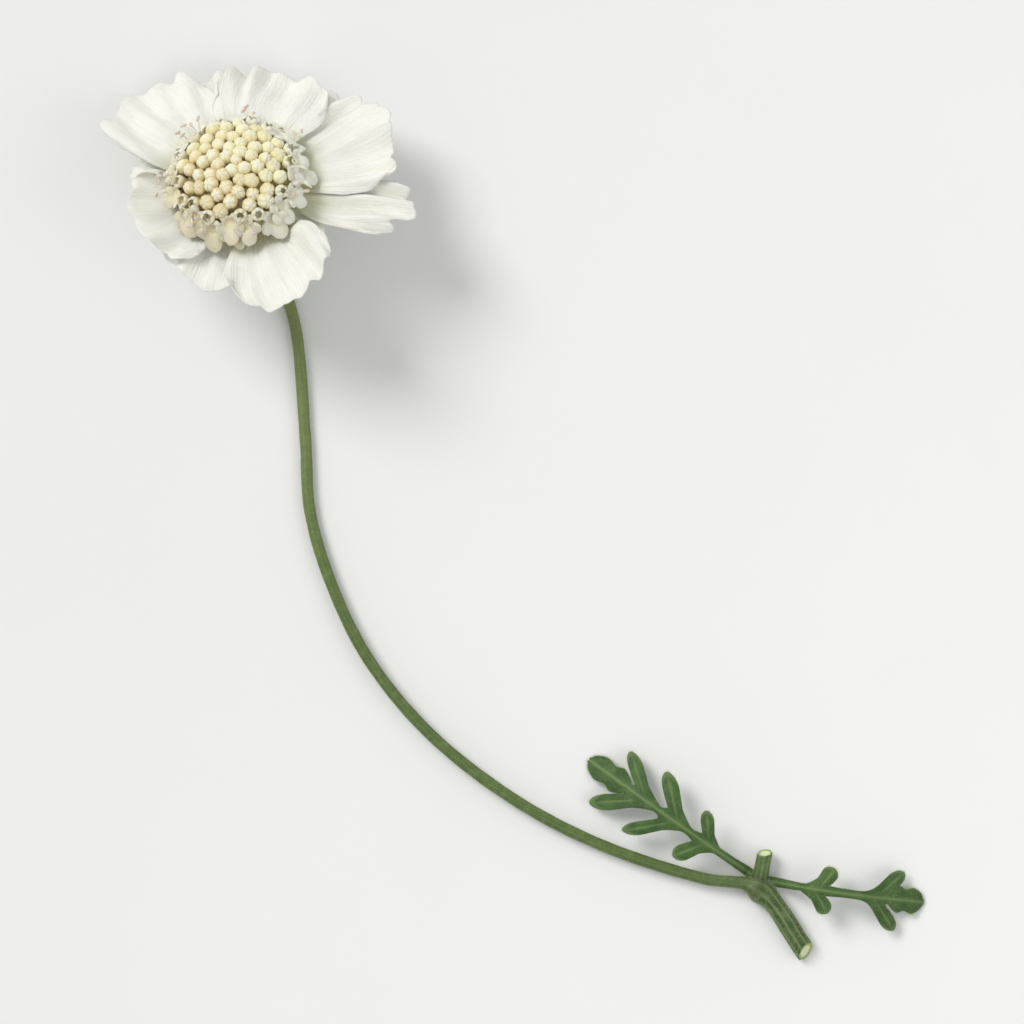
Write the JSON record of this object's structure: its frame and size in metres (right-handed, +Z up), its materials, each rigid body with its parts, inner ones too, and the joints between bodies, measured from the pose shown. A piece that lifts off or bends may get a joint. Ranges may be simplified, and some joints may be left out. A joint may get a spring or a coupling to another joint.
{
  "type": "scabious cut flower",
  "caption": "Cut scabious lying on its side: a ruffled white flower head with a cream cushion middle, on a long curved stalk with two small lobed leaves at the joint.",
  "frame": {"origin": "on the surface that the flower lies on, under the middle of its box", "axes": "+Y from the cut end of the stalk towards the flower head, +Z up from the surface"},
  "size_m": [0.1333, 0.1456, 0.0274],
  "materials": {
    "ray_petal": "soft matt white petal, faint yellow-green at its base",
    "disc_floret": "matt cream buds and small florets, lilac-grey anthers",
    "green_cup": "matt green with fine hairs",
    "stalk": "satin green stem with fine ribs and hairs",
    "leaf": "matt dark green leaf with fine hairs and a paler rib"
  },
  "bodies": {
    "root": {"ray_florets": "ray_petal", "disc_florets": "disc_floret", "involucre": "green_cup", "stalk": "stalk", "leaf_left": "leaf", "leaf_right": "leaf"}
  },
  "joints": []
}
